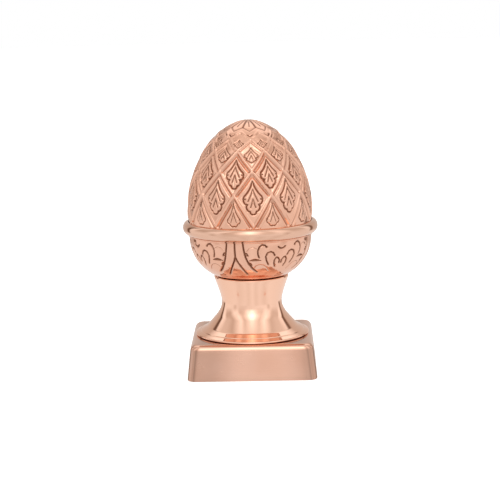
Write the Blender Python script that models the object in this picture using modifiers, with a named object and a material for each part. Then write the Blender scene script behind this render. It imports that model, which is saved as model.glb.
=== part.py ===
"""Pineapple post cap in polished copper.

A hollow square cap slips over the top of a post. A spun stem with a round flange stands on it and
carries an engraved bowl, a rolled ring and a pineapple with a diamond lattice. Metres, +Z up, the
origin at the middle of the cap's open rim.
"""
import math

import bmesh
import bpy
import numpy as np
from mathutils.geometry import delaunay_2d_cdt

# Square cap
CAP_RIM_WIDTH = 0.100
CAP_TOP_WIDTH = 0.0938
CAP_HEIGHT = 0.0273
CAP_WALL = 0.001
CAP_CORNER_RADIUS = 0.007
CAP_TOP_FILLET = 0.004

# Spun stem with its flange
FLANGE_RADIUS = 0.0446
FLANGE_EDGE = 0.001
WAIST_RADIUS = 0.0237
WAIST_RISE = 0.0244
STEM_RIM_RISE = 0.021
STEM_RIM_WALL = 0.0018
STEM_RECESS = 0.0015
# Slope of the foot in degrees, by share of its outline from the waist out to the flange
FOOT_SLOPES = ((0.0, 90.0), (0.18, 66.0), (0.36, 51.0), (0.72, 47.0), (0.75, 30.0),
               (1.0, 27.0))
HEAD_SLOPES = ((0.0, 90.0), (0.15, 80.5), (0.4, 76.5), (0.7, 75.0), (0.88, 75.5), (1.0, 84.0))

# Bowl
BOWL_RADIUS = 0.0478
BOWL_FOOT_RADIUS = 0.0240
BOWL_SIDE_HEIGHT = 0.0332
BOWL_SIDE_POWERS = (2.1, 0.39)
BOWL_SEAT_CLEARANCE = 0.0004
BOWL_LIP_STEP = 0.0010
BOWL_LIP_HEIGHT = 0.0013
NECK_STEP = 0.0004
BOWL_NECK_HEIGHT = 0.0042

# Rolled ring over the joint
RING_HEIGHT = 0.0097
RING_THICKNESS = 0.0042

# Pineapple, a little wider than the bowl
PINEAPPLE_STEP = 0.0012
PINEAPPLE_RISE = 0.0721
PINEAPPLE_DROP = 0.0122
PINEAPPLE_POWERS = (1.93, 0.535)

# Clearances
SEAT_GAP = 0.0003

# Carving, as shares of the pineapple's own surface length from its foot to its tip
SCALES_ROUND = 10
NODE_SHARES = (0.0636, 0.2947, 0.4696, 0.6240, 0.7222, 0.7877)
CROWN_TIP_SHARE = 0.794
CROWN_NOTCH_SHARE = 0.839
RIB_HALF_WIDTH = 0.0012
FIELD_DEPTH = 0.0010
CHANNEL_DEPTH = 0.0015
LEAF_DEPTH = 0.0002
LEAF_WIDTH_SHARE = 0.46
LEAF_RISE_SHARE = 0.56
LEAF_DROP_SHARE = 0.54
LEAF_EDGE_SHARE = 0.86
HALF_LEAF_WIDTH_SHARE = 0.36
HALF_LEAF_SPAN = (0.1, 0.8)
PETAL_SEAM_DEPTH = 0.0006
RIB_STEPS = 2
PINEAPPLE_TURN = 4.15

# Carving of the bowl
BOWL_PANELS = 4
BOWL_FIELD_DEPTH = 0.0001
BOWL_GROOVE_DEPTH = 0.0008
BOWL_TURN = -13.85
BOWL_GRID_ROWS = 10

# Facets round a turned piece
TURNED_STEPS = 40

# Radii that follow the bowl
BOWL_LIP_RADIUS = BOWL_RADIUS + BOWL_LIP_STEP
NECK_RADIUS = BOWL_RADIUS + NECK_STEP
PINEAPPLE_RADIUS = BOWL_RADIUS + PINEAPPLE_STEP

# Stack heights
STEM_FOOT = CAP_HEIGHT + SEAT_GAP
WAIST_HEIGHT = STEM_FOOT + FLANGE_EDGE + WAIST_RISE
STEM_RIM = WAIST_HEIGHT + STEM_RIM_RISE
BOWL_FOOT = STEM_RIM - STEM_RECESS + SEAT_GAP
BOWL_SHOULDER = BOWL_FOOT + BOWL_SIDE_HEIGHT
LIP_TOP = BOWL_SHOULDER + BOWL_LIP_HEIGHT
BOWL_TOP = LIP_TOP + BOWL_NECK_HEIGHT
RING_FOOT = LIP_TOP + SEAT_GAP
RING_TOP = RING_FOOT + RING_HEIGHT
PINEAPPLE_FOOT = BOWL_TOP + SEAT_GAP
PINEAPPLE_WAIST = PINEAPPLE_FOOT + PINEAPPLE_DROP
PINEAPPLE_TIP = PINEAPPLE_WAIST + PINEAPPLE_RISE

# Leaf outline from its hanging tip to its point: width and height, both as shares of the leaf
LEAF_OUTLINE = ((0.0, 0.0), (0.34, 0.07), (0.38, 0.17), (0.70, 0.24), (0.72, 0.34),
                (1.0, 0.44), (0.46, 0.76), (0.0, 1.0))


def copper(name, colour, roughness):
    material = bpy.data.materials.new(name)
    material.use_nodes = True
    shader = material.node_tree.nodes["Principled BSDF"]
    shader.inputs["Base Color"].default_value = (*colour, 1.0)
    shader.inputs["Metallic"].default_value = 1.0
    shader.inputs["Roughness"].default_value = roughness
    return material


def add_object(name, mesh, collection, material, smooth_angle=32):
    body = bpy.data.objects.new(name, mesh)
    collection.objects.link(body)
    mesh.materials.append(material)
    mesh.shade_smooth()
    mesh.set_sharp_from_angle(angle=math.radians(smooth_angle))
    return body


def turned(name, profile, collection, material, closed=False):
    """A profile of (radius, height) points turned about the Z axis."""
    mesh = bpy.data.meshes.new(name)
    edges = [(i, i + 1) for i in range(len(profile) - 1)]
    if closed:
        edges.append((len(profile) - 1, 0))
    mesh.from_pydata([(radius, 0.0, height) for radius, height in profile], edges, [])
    body = bpy.data.objects.new(name, mesh)
    collection.objects.link(body)
    mesh.materials.append(material)
    screw = body.modifiers.new("Turn", "SCREW")
    screw.steps = TURNED_STEPS
    screw.render_steps = TURNED_STEPS
    screw.use_merge_vertices = True
    screw.merge_threshold = 0.00001
    screw.use_smooth_shade = True
    return body


def square_cap(collection, cutters):
    """Pressed sheet cap: flat top, drafted skirts, rounded corners, open below."""
    copper_sheet = copper("cap_copper", (0.80, 0.46, 0.33), 0.28)
    cap = add_object("square_cap", drafted_block("square_cap", 0.0, 0.0), collection, copper_sheet)
    hollow = add_object("cap_hollow", drafted_block("cap_hollow", CAP_WALL, CAP_HEIGHT / 4), cutters,
                        copper_sheet)
    hollow.display_type = "WIRE"
    hollow.hide_render = True
    cut = cap.modifiers.new("Hollow", "BOOLEAN")
    cut.operation = "DIFFERENCE"
    cut.solver = "EXACT"
    cut.object = hollow


def drafted_block(name, inset, overrun):
    """The cap's outer form, or its hollow: inset by the wall and run on below the rim."""
    slope = (CAP_RIM_WIDTH - CAP_TOP_WIDTH) / CAP_HEIGHT
    top = CAP_HEIGHT - inset
    form = bmesh.new()
    bmesh.ops.create_cube(form, size=1.0)
    for vert in form.verts:
        height = top if vert.co.z > 0 else -overrun
        width = CAP_RIM_WIDTH - slope * height - 2 * inset
        vert.co = (vert.co.x * width, vert.co.y * width, height)
    uprights = [e for e in form.edges if e.verts[0].co.z * e.verts[1].co.z < 0
                or abs(e.verts[0].co.z - e.verts[1].co.z) > top / 2]
    bmesh.ops.bevel(form, geom=uprights, offset=CAP_CORNER_RADIUS - inset, segments=5,
                    profile=0.5, affect="EDGES", clamp_overlap=True)
    top_edges = [e for e in form.edges if min(v.co.z for v in e.verts) > top * 0.99]
    bmesh.ops.bevel(form, geom=top_edges, offset=CAP_TOP_FILLET - inset, segments=4,
                    profile=0.5, affect="EDGES", clamp_overlap=True)
    mesh = bpy.data.meshes.new(name)
    form.to_mesh(mesh)
    form.free()
    return mesh


def stem_profile(bowl):
    """Recess and rim round the bowl's foot, a waist, and a foot that sweeps out to the flange."""
    rim_inner = bowl.radius_at(bowl.length_at(STEM_RIM)) + BOWL_SEAT_CLEARANCE
    rim_outer = rim_inner + STEM_RIM_WALL
    recess_floor = STEM_RIM - STEM_RECESS
    points = [(0.0, recess_floor), (rim_inner, recess_floor), (rim_inner, STEM_RIM)]
    for out, up in reversed(sweep(HEAD_SLOPES, 7)):
        radius = WAIST_RADIUS + (rim_outer - WAIST_RADIUS) * out
        points.append((radius, WAIST_HEIGHT + up * STEM_RIM_RISE))
    for out, down in sweep(FOOT_SLOPES, 11)[1:]:
        radius = WAIST_RADIUS + (FLANGE_RADIUS - WAIST_RADIUS) * out
        points.append((radius, WAIST_HEIGHT - down * WAIST_RISE))
    points.append((FLANGE_RADIUS, STEM_FOOT))
    points.append((0.0, STEM_FOOT))
    return points


def sweep(slopes, steps):
    """Shares of the way out and of the way along, on an outline of these slopes in degrees."""
    along = np.linspace(0.0, 1.0, 20 * steps + 1)
    shares, degrees = zip(*slopes)
    slope = np.radians(np.interp(along, shares, degrees))
    out, down = np.cumsum(np.cos(slope)), np.cumsum(np.sin(slope))
    out, down = (out - out[0]) / (out[-1] - out[0]), (down - down[0]) / (down[-1] - down[0])
    return list(zip(out[::20], down[::20]))


def ring_profile():
    """A rolled bead: flat on its inner side, round outside."""
    inner = NECK_RADIUS + SEAT_GAP
    middle = RING_FOOT + RING_HEIGHT / 2
    points = [(inner, RING_TOP)]
    for turn in np.linspace(80, -80, 9):
        angle = math.radians(turn)
        radius = inner + RING_THICKNESS * math.cos(angle) ** 0.9
        points.append((radius, middle + RING_HEIGHT / 2 * math.sin(angle)))
    points.append((inner, RING_FOOT))
    return points


class Surface:
    """A turned surface measured by the length along its outline from its foot."""

    def __init__(self, heights, radii):
        self.heights = np.array(heights)
        self.radii = np.array(radii)
        steps = np.hypot(np.diff(self.heights), np.diff(self.radii))
        self.lengths = np.concatenate([[0.0], np.cumsum(steps)])
        self.total = float(self.lengths[-1])
        self.slope_r = np.gradient(self.radii, self.lengths)
        self.slope_z = np.gradient(self.heights, self.lengths)

    def length_at(self, height):
        return float(np.interp(height, self.heights, self.lengths))

    def radius_at(self, length):
        return float(np.interp(length, self.lengths, self.radii))

    def place(self, degrees, length, depth):
        """The point at an angle from the front and a length from the foot, sunk by depth."""
        radius = np.interp(length, self.lengths, self.radii)
        height = np.interp(length, self.lengths, self.heights)
        rise_r = np.interp(length, self.lengths, self.slope_r)
        rise_z = np.interp(length, self.lengths, self.slope_z)
        size = math.hypot(rise_r, rise_z)
        radius = max(radius - depth * rise_z / size, 0.0)
        height = height + depth * rise_r / size
        angle = math.radians(degrees)
        return (radius * math.sin(angle), -radius * math.cos(angle), height)


def pineapple_surface():
    turn = np.linspace(0.0, math.pi / 2, 400)
    below = np.linspace(1.0, 0.0, 40)[:-1]
    low_z = PINEAPPLE_WAIST - below * PINEAPPLE_DROP
    low_r = PINEAPPLE_RADIUS - (PINEAPPLE_RADIUS - NECK_RADIUS) * below ** 2
    share = np.sin(turn)
    power, root = PINEAPPLE_POWERS
    high_r = PINEAPPLE_RADIUS * np.clip(1 - share ** power, 0.0, 1.0) ** root
    high_z = PINEAPPLE_WAIST + share * PINEAPPLE_RISE
    return Surface(np.concatenate([low_z, high_z]), np.concatenate([low_r, high_r]))


def bowl_surface():
    power, root = BOWL_SIDE_POWERS
    foot_share = (1 - (BOWL_FOOT_RADIUS / BOWL_RADIUS) ** (1 / root)) ** (1 / power)
    share = np.linspace(foot_share, 0.0, 200)
    radii = BOWL_RADIUS * (1 - share ** power) ** root
    heights = BOWL_SHOULDER - share / foot_share * BOWL_SIDE_HEIGHT
    return Surface(heights, radii)


class Pattern:
    """Lines drawn on half of one repeat: x in degrees from its middle, y along the outline."""

    def __init__(self, half_degrees, surface, reference_radius):
        self.half = half_degrees
        self.surface = surface
        self.scale = math.radians(1.0) * reference_radius
        self.points = []
        self.edges = []
        self.closed_areas = []

    def point(self, x, y, depth):
        flat = (x * self.scale, y)
        for index, (old, _) in enumerate(self.points):
            if abs(old[0] - flat[0]) + abs(old[1] - flat[1]) < 0.00002:
                return index
        self.points.append((flat, depth))
        return len(self.points) - 1

    def line(self, points):
        indices = [self.point(*p) for p in points]
        self.edges += [(a, b) for a, b in zip(indices, indices[1:]) if a != b]

    def area(self, points):
        """A raised outline, kept so that the background grid stays out of it."""
        self.line(points)
        self.closed_areas.append([(x * self.scale, y) for x, y, _ in points])

    def grid(self, columns, rows, depth, spacing):
        """Background points, wherever no drawn line or raised outline is near."""
        for x in columns:
            for y in rows:
                flat = (x * self.scale, y)
                near = min(math.dist(flat, p[0]) for p in self.points)
                if near > spacing and not any(inside(flat, a) for a in self.closed_areas):
                    self.point(x, y, depth)


def inside(flat, outline):
    hit = False
    for (x0, y0), (x1, y1) in zip(outline, outline[1:] + outline[:1]):
        if (y0 > flat[1]) != (y1 > flat[1]):
            if flat[0] < x0 + (flat[1] - y0) * (x1 - x0) / (y1 - y0):
                hit = not hit
    return hit


def between(start, end, steps, depth_start=0.0, depth_end=0.0):
    """Points along a straight line, both ends included."""
    points = []
    for step in range(steps + 1):
        share = step / steps
        points.append((start[0] + (end[0] - start[0]) * share,
                       start[1] + (end[1] - start[1]) * share,
                       depth_start + (depth_end - depth_start) * share))
    return points


def scale_centre(pattern, axis, low, side, high, steps):
    """The sunk field of one diamond and the leaf in it, on one side of its axis."""
    toward = 1 if axis == 0 else -1
    half = pattern.half
    width = math.radians(half) * pattern.surface.radius_at(side)
    rise = (high - low) / 2
    inner_radius = width * rise / math.hypot(width, rise)
    shrink = 1 - RIB_HALF_WIDTH / inner_radius
    foot = (axis, side + (low - side) * shrink)
    corner = (axis + toward * half * shrink, side)
    head = (axis, side + (high - side) * shrink)
    pattern.line(between(foot, corner, steps, FIELD_DEPTH, FIELD_DEPTH))
    pattern.line(between(corner, head, steps, FIELD_DEPTH, CHANNEL_DEPTH))
    leaf_low = side - LEAF_DROP_SHARE * (side - low)
    leaf_high = side + LEAF_RISE_SHARE * (high - side)
    leaf(pattern, axis, toward, leaf_low, leaf_high, LEAF_WIDTH_SHARE * half)


def leaf(pattern, axis, toward, low, high, half_width):
    """A scalloped leaf: a foot on the field and a raised face inside it."""
    for shrink, depth in ((1.0, FIELD_DEPTH), (LEAF_EDGE_SHARE, LEAF_DEPTH)):
        middle = low + 0.42 * (high - low)
        points = []
        for width, height in LEAF_OUTLINE:
            y = low + height * (high - low)
            points.append((axis + toward * width * half_width * shrink,
                           middle + (y - middle) * shrink, depth))
        pattern.area(points)
    pattern.line(between((axis, low + 0.25 * (high - low)), (axis, low + 0.7 * (high - low)), 1))


def pineapple_pattern(surface):
    half = 180 / SCALES_ROUND
    pattern = Pattern(half, surface, PINEAPPLE_RADIUS)
    nodes = [share * surface.total for share in NODE_SHARES]

    # Plain neck inside the ring, then the zigzag of rib crests up to the crown
    ring_top = surface.length_at(RING_TOP)
    neck_depth = surface.radius_at(ring_top) - NECK_RADIUS
    for y, depth in ((0.0, 0.0), (ring_top, neck_depth)):
        pattern.line([(0, y, depth), (half / 2, y, depth), (half, y, depth)])
    for row, (low, high) in enumerate(zip(nodes, nodes[1:])):
        start, end = (0, half) if row % 2 == 0 else (half, 0)
        pattern.line(between((start, low), (end, high), RIB_STEPS))

    half_scale(pattern, nodes[0], nodes[1])
    for row in range(len(nodes) - 2):
        axis = 0 if row % 2 == 0 else half
        scale_centre(pattern, axis, nodes[row], nodes[row + 1], nodes[row + 2], RIB_STEPS)
    crown(pattern, nodes[-2], nodes[-1])
    return pattern


def half_scale(pattern, base, apex):
    """The triangular field that stands on the ring, with a shorter leaf."""
    half = pattern.half
    width = math.radians(half) * pattern.surface.radius_at(base)
    rise = apex - base
    slant = RIB_HALF_WIDTH * math.hypot(width, rise)
    corner = (half * slant / (rise * width), base)
    head = (half, apex - slant / width)
    pattern.line(between(corner, head, RIB_STEPS, FIELD_DEPTH, CHANNEL_DEPTH))
    leaf(pattern, half, -1, base + HALF_LEAF_SPAN[0] * rise, base + HALF_LEAF_SPAN[1] * rise,
         HALF_LEAF_WIDTH_SHARE * half)


def crown(pattern, last, side):
    """A small sunk field over each of the last nodes, and the pointed petals that meet at the tip."""
    half = pattern.half
    total = pattern.surface.total
    tip, notch = CROWN_TIP_SHARE * total, CROWN_NOTCH_SHARE * total
    pattern.line([(half, side, 0), (half, notch, 0)])
    field = ((0, last, tip, 0.25), (0.45, last, tip, 0.62), (0.62, side, notch, 0.3),
             (0.3, last, notch, 0.75), (0, last, tip, 0.86))
    pattern.line([(x * half, low + share * (high - low), FIELD_DEPTH) for x, low, high, share in field])
    pattern.line([(0, tip, 0), (half, notch, 0)])
    seam = ((0.0, 0.0), (0.12, PETAL_SEAM_DEPTH), (0.55, PETAL_SEAM_DEPTH), (1.0, 0.0))
    pattern.line([(half, notch + share * (total - notch), depth) for share, depth in seam])
    pattern.line([(0, tip + share * (total - tip), 0) for share in (0, 0.35, 0.7, 1)])
    pattern.line([(0, total, 0), (half, total, 0)])


def bowl_pattern(surface):
    half = 180 / BOWL_PANELS
    pattern = Pattern(half, surface, BOWL_RADIUS)
    total = surface.total

    def at(share):
        return share * total

    # Rim and foot
    columns = [half * share for share in np.linspace(0, 1, 7)]
    pattern.line([(x, 0, 0) for x in columns])
    pattern.line([(x, at(0.97), BOWL_FIELD_DEPTH) for x in columns])
    pattern.line([(x, total, 0) for x in columns])

    # The pair of tall stems: a groove between them, a crest and an outer line on each
    sweep = ((0.95, 0.0), (0.8, 0.0), (0.66, 0.01), (0.52, 0.06), (0.38, 0.17), (0.25, 0.32))
    for start, depth in ((0.0, BOWL_GROOVE_DEPTH), (0.1, 0.0), (0.2, BOWL_GROOVE_DEPTH)):
        pattern.line([((start + spread) * half, at(y), depth) for y, spread in sweep])

    # Lobes of the hanging leaves: an arch at the field's depth round a raised middle
    for x, y, width, height in ((0.37, 0.93, 0.11, 0.22), (0.56, 0.94, 0.075, 0.26),
                                (0.77, 0.80, 0.08, 0.24), (0.935, 0.68, 0.055, 0.2)):
        arch = [(-1, 1), (-1, 0.35), (0, 0), (1, 0.35), (1, 1)]
        pattern.area([((x + side * width) * half, at(y - drop * height), BOWL_GROOVE_DEPTH)
                      for side, drop in arch])
        pattern.line([((x + 0.1 * width) * half, at(y - drop * height), 0)
                      for drop in (0.35, 0.85)])
    rows = [at(share) for share in np.linspace(0, 0.97, BOWL_GRID_ROWS)[1:-1]]
    pattern.grid(columns, rows, BOWL_FIELD_DEPTH, 0.0024)
    return pattern


def wrap(name, pattern, repeats, turn, extra_rows, collection, material):
    """The half pattern meshed flat, mirrored, repeated round the axis, wrapped and closed."""
    flat = [p[0] for p in pattern.points]
    verts, _, faces, origins, _, _ = delaunay_2d_cdt([tuple(f) for f in flat], pattern.edges, [],
                                                     0, 0.000001)
    depths = []
    for vert, origin in zip(verts, origins):
        if origin:
            depths.append(pattern.points[origin[0]][1])
        else:
            nearest = min(range(len(flat)), key=lambda i: math.dist(flat[i], vert))
            depths.append(pattern.points[nearest][1])
    form = bmesh.new()
    for repeat in range(repeats):
        middle = turn + 360 / repeats * repeat
        for side in (1, -1):
            row = [form.verts.new(pattern.surface.place(middle + side * v[0] / pattern.scale,
                                                        v[1], depth))
                   for v, depth in zip(verts, depths)]
            for face in faces:
                corners = [row[i] for i in face]
                form.faces.new(corners if side == 1 else corners[::-1])
    bmesh.ops.remove_doubles(form, verts=form.verts, dist=0.000002)
    for radius, height in extra_rows:
        grow_rim(form, radius, height)
    rims = [e for e in form.edges if e.is_boundary]
    bmesh.ops.holes_fill(form, edges=rims, sides=0)
    bmesh.ops.recalc_face_normals(form, faces=form.faces)
    mesh = bpy.data.meshes.new(name)
    form.to_mesh(mesh)
    form.free()
    return add_object(name, mesh, collection, material)


def grow_rim(form, radius, height):
    """A further turned row above the highest open rim."""
    rim = [e for e in form.edges if e.is_boundary]
    top = max(v.co.z for e in rim for v in e.verts)
    rim = [e for e in rim if min(v.co.z for v in e.verts) > top - 0.0001]
    grown = bmesh.ops.extrude_edge_only(form, edges=rim)["geom"]
    for vert in (g for g in grown if isinstance(g, bmesh.types.BMVert)):
        size = math.hypot(vert.co.x, vert.co.y)
        vert.co = (vert.co.x / size * radius, vert.co.y / size * radius, height)


def main():
    for old in list(bpy.data.objects):
        bpy.data.objects.remove(old, do_unlink=True)
    collection = bpy.data.collections.new("pineapple_post_cap")
    bpy.context.scene.collection.children.link(collection)
    cutters = bpy.data.collections.new("cutters")
    bpy.context.scene.collection.children.link(cutters)

    square_cap(collection, cutters)
    polished = copper("stem_copper", (0.86, 0.50, 0.36), 0.12)
    bowl = bowl_surface()
    turned("spool_stem", stem_profile(bowl), collection, polished)
    lip = [(BOWL_LIP_RADIUS, BOWL_SHOULDER + 0.0006), (BOWL_LIP_RADIUS, LIP_TOP),
           (NECK_RADIUS, LIP_TOP), (NECK_RADIUS, BOWL_TOP)]
    wrap("bowl", bowl_pattern(bowl), BOWL_PANELS, BOWL_TURN, lip, collection,
         copper("bowl_copper", (0.82, 0.47, 0.34), 0.18))
    turned("equator_ring", ring_profile(), collection, copper("ring_copper", (0.86, 0.50, 0.37), 0.12),
           closed=True)
    wrap("pineapple", pineapple_pattern(pineapple_surface()), SCALES_ROUND, PINEAPPLE_TURN, [],
         collection, copper("pineapple_copper", (0.83, 0.48, 0.35), 0.18))


main()
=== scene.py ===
"""Pineapple post cap in polished copper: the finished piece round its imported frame.

Each of the five solids gets a finished piece of the same form, with the fine chasing that the
solids leave out. The carving is drawn on half of one repeat, meshed flat, sunk into the turned
surface, mirrored and repeated round the axis.
"""

import math

import bmesh
import bpy
import numpy as np
from mathutils import Matrix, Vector
from mathutils.geometry import delaunay_2d_cdt


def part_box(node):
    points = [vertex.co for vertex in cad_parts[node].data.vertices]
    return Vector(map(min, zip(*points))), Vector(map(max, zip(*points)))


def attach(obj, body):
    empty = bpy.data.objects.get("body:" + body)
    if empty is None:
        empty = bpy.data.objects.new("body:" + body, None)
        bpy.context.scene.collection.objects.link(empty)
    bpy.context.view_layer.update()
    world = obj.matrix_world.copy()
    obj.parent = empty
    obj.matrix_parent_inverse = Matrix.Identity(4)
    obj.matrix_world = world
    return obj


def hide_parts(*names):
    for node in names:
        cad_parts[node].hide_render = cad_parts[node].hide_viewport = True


bl_info = {
    "name": "Pineapple Post Cap",
    "version": (1, 0, 0),
    "blender": (4, 5, 0),
    "location": "View3D > Sidebar > Post Cap",
    "description": "Finished copper pieces for a pineapple post cap",
    "category": "Object",
}

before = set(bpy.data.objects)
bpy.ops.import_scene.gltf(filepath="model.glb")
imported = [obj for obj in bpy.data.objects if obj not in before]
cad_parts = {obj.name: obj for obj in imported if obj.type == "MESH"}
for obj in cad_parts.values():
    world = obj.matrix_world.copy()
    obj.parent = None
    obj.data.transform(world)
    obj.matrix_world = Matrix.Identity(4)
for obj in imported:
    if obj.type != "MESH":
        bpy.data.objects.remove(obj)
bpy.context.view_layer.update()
MM = 0.001
BODY = "root"


def node_box(name):
    """Lowest and highest corners of a solid."""
    low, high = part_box(name)
    return tuple(low), tuple(high)


CAP_LOW, CAP_HIGH = node_box("square_cap")
STEM_LOW, STEM_HIGH = node_box("spool_stem")
BOWL_LOW, BOWL_HIGH = node_box("bowl")
RING_LOW, RING_HIGH = node_box("equator_ring")
PINE_LOW, PINE_HIGH = node_box("pineapple")


# Sizes and colours that a user would change


def metres(name, description, default, low, high):
    """A length in metres."""
    return bpy.props.FloatProperty(name=name, description=description, unit="LENGTH",
                                   default=default, min=low, max=high, precision=5)


def radians(name, description, default, most):
    """An angle in radians, either way."""
    return bpy.props.FloatProperty(name=name, description=description, unit="ROTATION",
                                   default=default, min=-most, max=most)


def fraction(name, description, default):
    """A number from 0 to 1."""
    return bpy.props.FloatProperty(name=name, description=description, default=default,
                                   min=0, max=1)


def tint(name, description, default):
    """The colour of a metal finish."""
    return bpy.props.FloatVectorProperty(name=name, description=description, subtype="COLOR",
                                         size=3, min=0, max=1, default=default)


class CopperSettings(bpy.types.PropertyGroup):
    polished: tint("Polished copper", "Colour of the buffed turned metal", (0.955, 0.60, 0.445))
    # The carved and satin colours are copper painted darker than the polished, as painted shade
    carved: tint("Carved copper", "Colour of the chased metal", (0.86, 0.505, 0.37))
    satin: tint("Satin copper", "Colour of the brushed cap", (0.79, 0.48, 0.362))
    # Colour of the painted shade in the bottom of the cuts
    cut_shade_colour: tint("Painted cut shade", "Colour in the bottom of the cuts", (0.24, 0.09, 0.045))
    mirror_roughness: fraction("Polished roughness", "Roughness of the buffed metal", 0.07)
    carved_roughness: fraction("Carved roughness", "Roughness of the chased metal", 0.08)
    satin_roughness: fraction("Satin roughness", "Roughness of the brushed cap", 0.24)


class CapSettings(bpy.types.PropertyGroup):
    wall: metres("Sheet", "Thickness of the pressed sheet", 0.001, 0.0003, 0.004)
    corner: metres("Corner radius", "Radius of the upright corners", 0.007, 0.002, 0.02)
    fillet: metres("Top fillet", "Radius round the top edge", 0.004, 0.001, 0.01)
    top_width: metres("Top width", "Width where the skirts meet the top", 0.0938, 0.05, 0.2)


class StemSettings(bpy.types.PropertyGroup):
    waist_radius: metres("Waist radius", "Smallest radius of the stem", 0.0237, 0.01, 0.04)
    waist_rise: metres("Waist height", "From the flange's edge up to the waist",
                       0.0238, 0.01, 0.04)
    flange_edge: metres("Flange edge", "Thickness at the edge of the flange",
                        0.0016, 0.0003, 0.004)
    recess: metres("Recess", "Depth of the seat that the bowl stands in", 0.0015, 0.0005, 0.004)
    turned_line: metres("Turned line", "Radius of the fine line turned on the flange",
                        0.0407, 0.03, 0.05)


class CarvingSettings(bpy.types.PropertyGroup):
    field: metres("Field depth", "Depth of the plain field between the ribs", 0.0008, 0, 0.003)
    gouge: metres("Gouge depth", "Depth of the round cuts under the ribs, below the field",
                  0.0011, 0, 0.004)
    gouge_width: metres("Gouge width", "Full width of the round cuts", 0.0034, 0.001, 0.006)
    leaf: metres("Leaf depth", "Depth of the raised face of a leaf", 0.0004, 0, 0.003)
    line: metres("Line depth", "Depth of the chased lines below the face", 0.0011, 0, 0.002)
    line_width: metres("Line width", "Full width of the chased lines", 0.0013, 0.0003, 0.003)
    bowl_line: metres("Bowl line depth", "Depth of the lines on the bowl", 0.0009, 0, 0.002)
    spacing: metres("Mesh spacing", "Distance between the points of the carved surface",
                    0.0006, 0.0004, 0.003)


class StudioSettings(bpy.types.PropertyGroup):
    floor: metres("Floor", "Radius of the pale floor", 6.0, 0.1, 50)
    focal: bpy.props.FloatProperty(
        name="Focal length", description="Focal length of the camera in millimetres",
        default=115.2, min=20, max=300)
    distance: metres("Camera distance", "From the axis to the camera", 1.2364, 0.3, 5)
    height: metres("Camera height", "Height of the camera over the floor", 0.3066, 0, 2)
    pitch: radians("Camera pitch", "How far the camera looks down", 0.171, 1.5)
    roll: radians("Camera roll", "Tilt of the picture", -0.022, 0.5)
    orbit: radians("Camera orbit", "How far the camera stands round to the right", 0.02, 3.2)
    aim: metres("Camera offset", "Sideways place of the camera", -0.0006, -0.5, 0.5)


# The turned outlines


class Outline:
    """A turned surface measured by the length along its outline from its foot."""

    def __init__(self, heights, radii):
        self.heights = np.array(heights)
        self.radii = np.array(radii)
        steps = np.hypot(np.diff(self.heights), np.diff(self.radii))
        self.lengths = np.concatenate([[0.0], np.cumsum(steps)])
        self.total = float(self.lengths[-1])
        self.slope_r = np.gradient(self.radii, self.lengths)
        self.slope_z = np.gradient(self.heights, self.lengths)
        middle = np.maximum((self.radii[1:] + self.radii[:-1]) / 2, 0.0002)
        self.stretch = np.concatenate([[0.0], np.cumsum(steps / middle)])

    def length_at(self, height):
        return np.interp(height, self.heights, self.lengths)

    def radius_at(self, length):
        return np.interp(length, self.lengths, self.radii)

    def even_map(self, length):
        """The height on a flat map that keeps the shape of every small detail."""
        return np.interp(length, self.lengths, self.stretch)

    def place(self, degrees, length, sink):
        """Points at an angle from the front and a length from the foot, sunk into the metal."""
        radius = self.radius_at(length)
        height = np.interp(length, self.lengths, self.heights)
        rise_r = np.interp(length, self.lengths, self.slope_r)
        rise_z = np.interp(length, self.lengths, self.slope_z)
        size = np.hypot(rise_r, rise_z)
        radius = np.maximum(radius - sink * rise_z / size, 0.0)
        height = height + sink * rise_r / size
        angle = np.radians(degrees)
        return np.stack([radius * np.sin(angle), -radius * np.cos(angle), height], axis=1)


# Sizes of the turned outlines in metres. Each powers pair gives a curve's radius as a share of
# its largest one: (1 - share of the height ** first) ** second
PINEAPPLE_DROP = 0.0122
PINEAPPLE_POWERS = (1.93, 0.535)
PINEAPPLE_RADIUS = 0.0490
NECK_RADIUS = 0.0482
BOWL_RADIUS = 0.0478
BOWL_FOOT_RADIUS = 0.0240
BOWL_SIDE_HEIGHT = 0.0332
BOWL_SIDE_POWERS = (2.1, 0.39)
BOWL_LIP_RADIUS = 0.0488
BOWL_LIP_HEIGHT = 0.0013


def pineapple_outline():
    """From the neck in the ring out to the widest place and up to the tip."""
    foot, tip = PINE_LOW[2], PINE_HIGH[2]
    waist = foot + PINEAPPLE_DROP
    below = np.linspace(1.0, 0.0, 60)[:-1]
    low_z = waist - below * PINEAPPLE_DROP
    low_r = PINEAPPLE_RADIUS - (PINEAPPLE_RADIUS - NECK_RADIUS) * below ** 2
    share = np.sin(np.linspace(0.0, math.pi / 2, 900))
    power, root = PINEAPPLE_POWERS
    high_r = PINEAPPLE_RADIUS * np.clip(1 - share ** power, 0.0, 1.0) ** root
    high_z = waist + share * (tip - waist)
    return Outline(np.concatenate([low_z, high_z]), np.concatenate([low_r, high_r]))


def bowl_outline():
    """From the foot in the stem's seat up to the shoulder under the ring."""
    shoulder = BOWL_LOW[2] + BOWL_SIDE_HEIGHT
    power, root = BOWL_SIDE_POWERS
    foot_share = (1 - (BOWL_FOOT_RADIUS / BOWL_RADIUS) ** (1 / root)) ** (1 / power)
    share = np.linspace(foot_share, 0.0, 400)
    radii = BOWL_RADIUS * (1 - share ** power) ** root
    return Outline(shoulder - share / foot_share * BOWL_SIDE_HEIGHT, radii)


# Slopes of the stem's outline in degrees, by share of the way along it: of its foot, from the
# waist out to the flange, and of its head, from the waist up to the rim
FOOT_SLOPES = ((0.0, 90.0), (0.18, 66.0), (0.36, 51.0), (0.70, 47.0), (0.75, 29.0),
               (1.0, 26.0))
HEAD_SLOPES = ((0.0, 90.0), (0.15, 81.5), (0.45, 77.0), (0.7, 75.8), (0.88, 75.4), (1.0, 82.0))


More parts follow.
